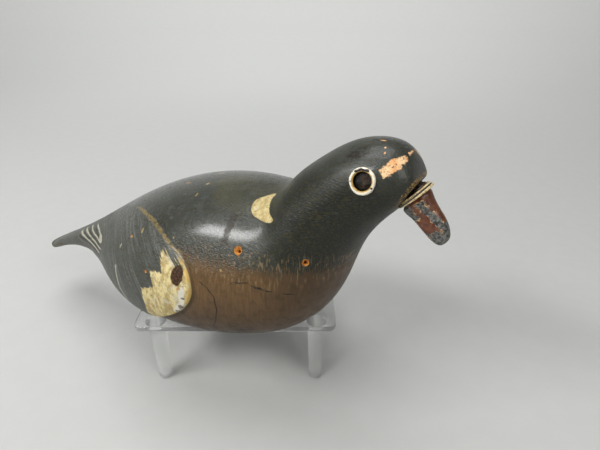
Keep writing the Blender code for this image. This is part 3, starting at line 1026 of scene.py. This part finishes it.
def paintSkin():
    material, tree, shader = newMaterial("aged_paint_on_wood", Coat_Roughness=0.17, Specular_IOR_Level=0.26)
    on = readSurface(tree)
    colour, cream = creamLayer(on, breastLayer(on, slateLayer(on)))
    colour, raw = wearLayer(on, wornEdgeLayer(on, colour))
    cracks = marked(on.fromSide, marks["cracks"], marks["crackHoles"])
    colour = blend(times(cracks, 0.9), colour, paint["grime"])
    colour, tail = tailLayer(on, featherLayer(on, colour))
    colour = tornLayer(on, colour)
    # darker along the groove in front of the wing's front edge
    groove = times(ease(on.wing, -3.2, -1.6), ease(on.wing, -1.2, -0.2, 1.0, 0.0), on.wingFront)
    colour = blend(times(groove, 0.35), colour, paint["grooveDarkening"])

    # rubbed glossy on the back and forehead, dull on the neck and breast
    forehead = times(ease(on.x, 88, 100), ease(on.z, 174, 188))
    polished = times(ease(on.along, 8.2, 9.6, 1.0, 0.0), ease(on.z, 112, 134, 0.0, 1.0))
    polished = anyOf([polished, times(forehead, 0.55)])
    rough = plus(ease(on.mottle, 0.3, 0.7, 0.22, 0.34), times(polished, -0.04))
    rough = plus(rough, times(minus(1.0, polished), 0.14))
    rough = plus(rough, times(cream, 0.14))
    rough = plus(rough, times(anyOf([raw, tail]), 0.35))
    dull = anyOf([raw, tail, times(cream, 0.6)])
    varnish = without(ease(polished, 0.0, 1.0, 0.04, 0.42), dull)
    tree.links.new(without(varnish, times(on.onWing, 0.6)), shader.inputs["Coat Weight"])

    # crackled varnish, brushwork, the paint's edges and the cracks
    wrinkles = cloud(stretch(on.place, 0.62, 1.3, 1.15), 1.0, 3, 0.5)
    brushed = plus(times(on.bodyBrush, 0.07), times(on.wingBrush, 0.16))
    height = plus(brushed, times(wrinkles, ease(polished, 0.0, 1.0, 0.14, 0.56)))
    for layer, depth in ((cream, 0.16), (on.fleck, 0.04), (cracks, -0.45), (raw, -0.14)):
        height = plus(height, times(layer, depth))
    finishShader(shader, colour, rough, height)
    return material


def paintRawWood(name, light, dark, grain=0.5, lip=0.0):
    # lip: how far from the bill's line the torn edge starts to show light wood
    material, tree, shader = newMaterial(name)
    place = measured(tree)
    streaks = cloud(stretch(place, 0.35, 1.6, 1.6), grain, 4, 0.7)
    colour = blend(ease(streaks, 0.36, 0.62), dark, light)
    if lip:
        reach = plus(offAxis(place, billShape["place"], billShape["axis"]), times(minus(streaks, 0.5), 5.0))
        torn = blend(ease(cloud(place, 0.8, 3), 0.42, 0.56), (0.36, 0.22, 0.06), (0.05, 0.025, 0.009))
        colour = blend(ease(reach, lip, lip + 1.2), colour, torn)
    finishShader(shader, colour, ease(streaks, 0.3, 0.7, 0.55, 0.85), streaks, 0.8)
    return material


def paintRing():
    material, tree, shader = newMaterial("eye_ring_paint", Roughness=0.4)
    place = measured(tree)
    chip = ease(cloud(place, 0.55, 4, 0.7), 0.60, 0.66)
    dirt = ease(cloud(place, 0.3, 4, 0.6), 0.5, 0.7, 0.0, 0.6)
    places = [[sided(eyeShape[key], side) for key in ("place", "facing")] for side in (-1, 1)]
    radius = calc("MINIMUM", *[offAxis(place, *line) for line in places])
    colour = blend(dirt, (0.82, 0.78, 0.66), (0.55, 0.44, 0.24))
    colour = blend(ease(radius, 5.5, 6.0, 1.0, 0.0), colour, (0.50, 0.33, 0.10))
    colour = blend(chip, colour, (0.06, 0.035, 0.02))
    flat = shift("MULTIPLY", place, (1, 0, 1))
    split = marked(flat, eyeShape["ringSplits"], eyeShape["ringChips"])
    colour = blend(split, colour, (0.022, 0.012, 0.006))
    height = minus(times(cloud(place, 0.9, 3), 0.5), times(split, 0.5))
    finishShader(shader, colour, ease(dirt, 0.0, 0.6, 0.35, 0.6), height)
    return material


def paintBall():
    material, tree, shader = newMaterial("old_eye_filler")
    place = measured(tree)
    crust = cloud(stretch(place, 1.5, 1.0, 0.4), 0.5, 5, 0.7)
    colour = blend(ease(crust, 0.46, 0.62), (0.004, 0.003, 0.002), (0.050, 0.022, 0.007))
    # painted shade: the sunken eye goes near black towards its rear and lower side
    forward = add(tree, "ShaderNodeSeparateXYZ", {0: place}).outputs
    lean = plus(forward[0], times(forward[2], 0.35))
    dark = ease(lean, 162.6, 165.6, 1.0, 0.0)
    colour = blend(times(dark, 0.85), colour, (0.006, 0.004, 0.002))
    finishShader(shader, colour, ease(crust, 0.3, 0.7, 0.45, 0.75), crust)
    return material


def makeEyes(ringPaint, ballPaint):
    shape = eyeShape
    for name, side in (("left", 1), ("right", -1)):
        seat = Matrix.Translation(at(*sided(shape["place"], side)))
        seat = seat @ facingMatrix(sided(shape["facing"], side))
        bpy.ops.mesh.primitive_torus_add(
            major_radius=shape["ringRadius"] * mm,
            minor_radius=shape["ringTube"] * mm,
            major_segments=shape["ringSegments"][0],
            minor_segments=shape["ringSegments"][1],
        )
        ring = bpy.context.object
        ring.matrix_world = seat @ Matrix.Translation((0, 0, -shape["ringSetIn"] * mm))
        settle(ring, "painted_eye_ring_" + name)
        roughen(ring, *shape["ringUneven"])
        ring.data.materials.append(ringPaint)
        turns, rows = shape["ballSegments"]
        bpy.ops.mesh.primitive_uv_sphere_add(segments=turns, ring_count=rows, radius=shape["ballRadius"] * mm)
        ball = bpy.context.object
        ball.scale = (1, 1, shape["ballHalfDepth"] / shape["ballRadius"])
        settle(ball, "sunken_eye_" + name)
        deep = (shape["ballSetIn"] + shape["ballHalfDepth"]) * mm
        ball.matrix_world = seat @ Matrix.Translation((0, 0, -deep))
        settle(ball, "sunken_eye_" + name)
        roughen(ball, *shape["ballUneven"])
        ball.data.materials.append(ballPaint)
        finishPiece(ring, "eye_ring_paint", "eye_ring_" + name)
        finishPiece(ball, "eye_ball_glass", "eye_" + name)


def finishPiece(piece, slot, *nodes):
    pick(piece)
    bpy.ops.object.shade_smooth_by_angle(angle=math.radians(35))
    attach(piece, "root")
    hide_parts(*nodes)
    print("made", piece.name, len(piece.data.polygons), "faces")


def billReach(place, way):
    # how far a place lies from the bill's base, measured one way
    away = shift("SUBTRACT", place, billShape["place"])
    return shift("DOT_PRODUCT", away, tuple(Vector(billShape[way]).normalized()))


def paintBill():
    material, tree, shader = newMaterial("worn_red_brown_paint", Coat_Weight=0.2, Coat_Roughness=0.15)
    place = measured(tree)
    out, rise = billReach(place, "axis"), billReach(place, "rise")
    ragged = times(minus(cloud(place, 0.28, 4, 0.65), 0.5), 16.0)
    level = plus(rise, times(ragged, 0.35))
    ridge = times(ease(level, 0.2, 0.7), ease(level, 3.9, 4.5, 1.0, 0.0))
    tip = ease(plus(out, ragged), 20.5, 21.5)
    throat = ease(plus(rise, times(ragged, 0.6)), -3.2, -2.6, 1.0, 0.0)
    throat = times(throat, ease(out, 9.5, 11.5, 1.0, 0.0))
    chips = ease(cloud(place, 0.6, 4, 0.7), 0.62, 0.64)
    base = ease(plus(out, times(ragged, 0.2)), 2.6, 3.2)
    worn = anyOf([times(anyOf([ridge, tip, chips]), base), throat])
    ground = cloud(place, 0.7, 5, 0.7)
    # worn grey where the red paint has gone; its brightest speckles are painted highlight standing in for
    # glints
    grey = blend(ease(ground, 0.38, 0.66), (0.016, 0.015, 0.013), (0.19, 0.185, 0.170))
    red = blend(ease(cloud(place, 0.3, 3), 0.35, 0.7), (0.082, 0.021, 0.006), (0.160, 0.044, 0.012))
    colour = blend(worn, red, grey)
    fringe = times(worn, minus(1.0, worn), 4.0)
    sparse = ease(cloud(place, 0.5, 3), 0.46, 0.56)
    colour = blend(times(fringe, sparse), colour, (0.62, 0.42, 0.22))
    height = plus(times(worn, -0.2), times(ground, 0.3))
    # the plug behind the collar: a few brown splinters in near black, the near black being painted shade in
    # the recess
    shadedPlug = ease(out, -0.5, -0.2, 1.0, 0.0)
    splinters = ease(cloud(place, 0.9, 3), 0.57, 0.65)
    colour = blend(shadedPlug, colour, blend(splinters, (0.008, 0.005, 0.003), (0.14, 0.075, 0.022)))
    finishShader(shader, colour, ease(worn, 0.0, 1.0, 0.28, 0.38), height)
    return material


def paintCollar():
    material, tree, shader = newMaterial("cream_collar_paint", Roughness=0.45)
    place = measured(tree)
    out = billReach(place, "axis")
    wear = cloud(place, 0.7, 4, 0.7)
    colour = blend(ease(wear, 0.46, 0.62), (0.74, 0.60, 0.34), (0.36, 0.24, 0.10))
    groove = times(ease(out, -1.2, -1.0), ease(out, -0.42, -0.26, 1.0, 0.0))
    colour = blend(times(groove, 0.92), colour, (0.035, 0.038, 0.040))
    colour = blend(ease(wear, 0.64, 0.68), colour, (0.03, 0.02, 0.012))
    finishShader(shader, colour, None, wear, 0.5)
    return material


def makeBill(billPaint, collarPaint):
    shape = billShape
    points = shape["ringPoints"]
    fuller = fullness(points) * mm
    axis = Vector(shape["axis"])
    rise = Vector(shape["rise"])
    start = at(*shape["place"])
    rings = []
    for along, (out, above, halfUp, halfWide) in enumerate(shape["sections"]):
        centre = start + (axis * out + rise * above) * mm
        rings.append(addRing(centre, rise, halfUp * fuller, halfWide * fuller, points, along))
    bill = loftRings(rings, "carved_bill", shape["levels"])
    bill.data.materials.append(billPaint)
    roughen(bill, *shape["uneven"])
    finishPiece(bill, "bill_paint", "bill")
    facing = Matrix.Rotation(math.radians(shape["collarTilt"]), 4, "Y") @ axis
    seat = start - axis * shape["collarBack"] * mm
    collar = addTurned("turned_collar", shape["collar"], seat, facing, 96)
    cutAway(collar, [addTurned("bore", shape["bore"], seat, facing, 64)])
    paintAll(collar, collarPaint)
    roughen(collar, *shape["collarUneven"])
    finishPiece(collar, "bill_collar_paint", "bill_collar")


riserShape = {
    "corner": (6.0, 10),  # radius and segments
    "edge": (0.8, 4),
    "legSides": 40,
    "leg": [
        (8.4, 0.4), (7.6, -0.4), (7.0, -1.6), (6.8, -3.0),
        (4.7, -51.0), (4.6, -51.9), (4.2, -52.6), (3.6, -52.9),
    ],
}


def paintRiser():
    material, tree, shader = newMaterial("clear_moulded_plastic", Transmission_Weight=0.84, IOR=1.45)
    place = measured(tree)
    haze = cloud(place, 0.06, 4, 0.6)
    scuffs = ease(cloud(stretch(place, 0.4, 0.4, 0.4), 1.0, 4, 0.7), 0.56, 0.72)
    colour = blend(ease(haze, 0.4, 0.7), (0.98, 0.985, 0.98), (0.94, 0.95, 0.94))
    rough = plus(ease(haze, 0.3, 0.7, 0.03, 0.08), times(scuffs, 0.12))
    finishShader(shader, colour, rough, haze, 0.3)
    return material


def makeRiser(clear):
    low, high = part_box("stand_plate")
    corner, cornerSegments = riserShape["corner"]
    edge, edgeSegments = riserShape["edge"]
    feet = {}
    for name in ("front_left", "front_right", "rear_left", "rear_right"):
        footLow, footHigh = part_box("stand_leg_" + name)
        feet[name] = (footLow + footHigh) / 2
    ahead = feet["front_right"] - feet["rear_right"]
    turn = math.atan2(ahead.y, ahead.x)
    # a box turned by an angle fills a wider upright one, so its sides are worked back from that
    wide, deep = high.x - low.x, high.y - low.y
    even = math.cos(turn) ** 2 - math.sin(turn) ** 2
    sharp = 2 * corner * mm * (math.cos(turn) + math.sin(turn) - 1)
    length = ((wide + sharp) * math.cos(turn) - (deep + sharp) * math.sin(turn)) / even
    width = ((deep + sharp) * math.cos(turn) - (wide + sharp) * math.sin(turn)) / even
    bpy.ops.mesh.primitive_cube_add(size=1)
    plate = bpy.context.object
    plate.scale = (length, width, high.z - low.z)
    settle(plate, "stand_riser")
    openMesh("DESELECT", "EDGE")
    cage = bmesh.from_edit_mesh(plate.data)
    for line in cage.edges:
        line.select_set(abs(line.verts[0].co.z - line.verts[1].co.z) > mm)
    bmesh.update_edit_mesh(plate.data)
    bpy.ops.mesh.bevel(offset=corner * mm, segments=cornerSegments)
    closeMesh()
    settings = {"segments": edgeSegments, "limit_method": "ANGLE", "angle_limit": 1.0}
    useModifier(plate, "BEVEL", width=edge * mm, **settings)
    middle = (low + high) / 2
    plate.matrix_world = Matrix.Translation(middle) @ Matrix.Rotation(turn, 4, "Z")
    settle(plate, "stand_riser")
    for place in feet.values():
        foot = Vector((place.x, place.y, low.z))
        leg = addTurned("leg", riserShape["leg"], foot, (0, 0, 1), riserShape["legSides"])
        useModifier(plate, "BOOLEAN", operation="UNION", solver="EXACT", object=leg)
        bpy.data.objects.remove(leg, do_unlink=True)
    paintAll(plate, clear)
    finishPiece(plate, "riser_clear_plastic", "stand_plate", *["stand_leg_" + name for name in feet])


# metres: a round floor whose rim is swept up into a backdrop
stageShape = {
    "flat": 1.5,
    "sweep": [(1.8, 0.03), (2.1, 0.12), (2.35, 0.28), (2.55, 0.52), (2.68, 0.85), (2.74, 1.3), (2.76, 1.8)],
    "shade": (0.465, 0.47, 0.458),
}


def makeStage():
    bpy.ops.mesh.primitive_circle_add(vertices=96, radius=stageShape["flat"], fill_type="NGON")
    floor = bpy.context.object
    openMesh(kind="EDGE")
    radius, height = stageShape["flat"], 0.0
    for nextRadius, nextHeight in stageShape["sweep"]:
        bpy.ops.mesh.extrude_edges_move(TRANSFORM_OT_translate={"value": (0, 0, nextHeight - height)})
        share = nextRadius / radius
        bpy.ops.transform.resize(value=(share, share, 1), center_override=(0, 0, nextHeight))
        radius, height = nextRadius, nextHeight
    closeMesh()
    bpy.ops.object.shade_smooth_by_angle(angle=math.radians(40))
    settle(floor, "floor_sweep")
    material, tree, shader = newMaterial("pale_paper", Roughness=0.85)
    place = add(tree, "ShaderNodeTexCoord").outputs["Object"]
    grain = cloud(place, 60, 3)
    shade = stageShape["shade"]
    colour = blend(ease(grain, 0.3, 0.7), shade, tuple(value * 1.02 for value in shade))
    finishShader(shader, colour)
    floor.data.materials.append(material)


# metres from the middle of the floor, and watts
lightShape = {
    "window": {"place": (-0.36, -0.85, 0.95), "size": (0.80, 0.18), "power": 14, "tint": (1.0, 1.0, 0.99)},
    "lampRight": {"place": (1.02, -0.38, 0.82), "size": (0.6, 0.5), "power": 4.5, "tint": (1.0, 0.99, 0.96)},
    "ceiling": {"place": (-0.15, 0.0, 2.0), "size": (1.3, 1.3), "power": 22, "tint": (1.0, 1.0, 1.0)},
    "backdrop": {
        "place": (-0.7, 1.15, 1.6),
        "size": (2.2, 1.0),
        "power": 34,
        "tint": (1.0, 1.0, 1.0),
        "aim": (-1.5, 2.45, 0.05),
    },
}
roomShade = {"tint": (0.97, 0.98, 1.0), "strength": 0.06}


def makeLights():
    for name, light in lightShape.items():
        aim = Vector(light.get("aim", (0, 0, 0.1)))
        lamp = bpy.data.lights.new(name, "AREA")
        lamp.shape = "RECTANGLE"
        lamp.size, lamp.size_y = light["size"]
        lamp.energy = light["power"]
        lamp.color = light["tint"]
        holder = bpy.data.objects.new(name, lamp)
        bpy.context.scene.collection.objects.link(holder)
        holder.location = light["place"]
        holder.rotation_euler = (aim - holder.location).to_track_quat("-Z", "Y").to_euler()
    world = bpy.data.worlds.new("soft_room")
    world.use_nodes = True
    background = world.node_tree.nodes["Background"].inputs
    background["Color"].default_value = (*roomShade["tint"], 1)
    background["Strength"].default_value = roomShade["strength"]
    bpy.context.scene.world = world
    bpy.context.scene.view_settings.view_transform = "Standard"


# place in millimetres from the measuring point, turn and tilt in degrees
cameraShape = {"place": (181.7, -218.8, 270), "turn": 31.01, "down": 26.85, "lens": 27.06, "sensor": 36}


def makeCamera():
    camera = bpy.data.cameras.new("camera")
    camera.lens = cameraShape["lens"]
    camera.sensor_width = cameraShape["sensor"]
    camera.clip_start = 10 * mm
    holder = bpy.data.objects.new("camera", camera)
    bpy.context.scene.collection.objects.link(holder)
    holder.location = at(*cameraShape["place"])
    holder.rotation_euler = (math.radians(90 - cameraShape["down"]), 0, math.radians(cameraShape["turn"]))
    bpy.context.scene.camera = holder


skin = buildSkin()
print("skin rounded:", len(skin.data.vertices), "points")
wingField = carveWings(skin)
writeValues(skin, "wingMark", np.clip(wingField, -12, 12))
print("wings carved:", len(skin.data.polygons), "faces")
skin.data.materials.append(paintSkin())
cutOpenings(
    skin,
    paintRawWood("eye_socket_wood", (0.075, 0.040, 0.018), (0.012, 0.007, 0.004)),
    # the broken face is near black as painted shade deep in the recess behind the collar, with lighter torn
    # wood showing at its lip
    paintRawWood("torn_wood_and_painted_shade", (0.030, 0.018, 0.008), (0.006, 0.004, 0.003), 0.8, 10.6),
    paintRawWood("shot_wood", paint["shotWood"], (0.34, 0.12, 0.02), 0.7),
)
markSkin(skin)
finishPiece(skin, "painted_wood_grey", "head", "neck", "trunk", "tail", "wing_left", "wing_right")
makeEyes(paintRing(), paintBall())
makeBill(paintBill(), paintCollar())
makeRiser(paintRiser())
makeStage()
makeLights()
makeCamera()
print("floor, lights and camera set")
